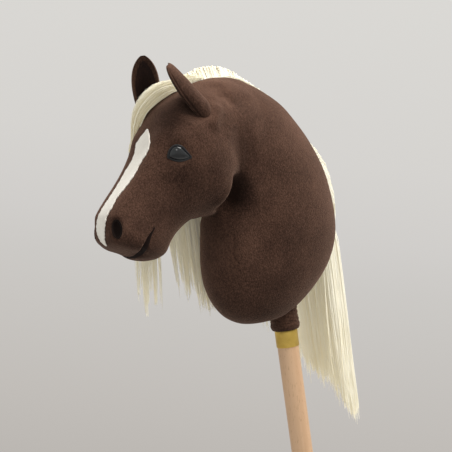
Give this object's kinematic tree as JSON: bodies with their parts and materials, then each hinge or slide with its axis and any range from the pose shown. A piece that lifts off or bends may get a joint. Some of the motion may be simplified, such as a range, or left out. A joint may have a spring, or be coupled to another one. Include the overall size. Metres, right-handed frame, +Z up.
{
  "type": "hobby horse",
  "caption": "Stuffed horse's head and neck with mane and forelock on a round wooden stick; the head lifts off.",
  "frame": {"origin": "centre of the flat foot of the stick", "axes": "+Z up along the stick's axis; the horse faces -X and its left side is -Y"},
  "size_m": [0.348, 0.1336, 0.857],
  "materials": {
    "beech": "sanded and waxed beech",
    "brass": "satin brass tube",
    "socket_plastic": "black moulded plastic",
    "velour": "short-napped brown velour",
    "lining_velour": "short-napped dark brown velour",
    "dark_felt": "dark brown felt",
    "cream_felt": "off-white felt",
    "hair": "straight cream fibre with a soft sheen",
    "tape": "woven cotton tape",
    "eye_resin": "polished dark grey resin",
    "rim_leather": "smooth black leather",
    "washer_nylon": "natural white nylon"
  },
  "bodies": {
    "stick": {"stick": "beech", "ferrule": "brass"},
    "head": {"socket_tube": "socket_plastic", "socket_cap": "socket_plastic", "neck": "velour", "neck_sleeve": "velour", "sleeve_hem": "velour", "head": "velour", "mouth_lining": "dark_felt", "blaze": "cream_felt", "eye_left": "eye_resin", "eye_right": "eye_resin", "eye_rim_left": "rim_leather", "eye_rim_right": "rim_leather", "eye_washer_left": "washer_nylon", "eye_washer_right": "washer_nylon", "nostril_left": "dark_felt", "nostril_right": "dark_felt", "ear_left": "velour", "ear_right": "velour", "ear_lining_left": "lining_velour", "ear_lining_right": "lining_velour", "mane_tape": "tape", "mane_tress_1": "hair", "mane_tress_2": "hair", "mane_tress_3": "hair", "mane_tress_4": "hair", "mane_tress_5": "hair", "mane_tress_6": "hair", "mane_tress_7": "hair", "mane_tress_8": "hair", "mane_tress_9": "hair", "forelock": "hair"}
  },
  "joints": [
    {"name": "head_lift", "type": "slide", "parent": "stick", "child": "head", "axis": [0, 0, 1], "range_m": [0, 0.17]}
  ]
}
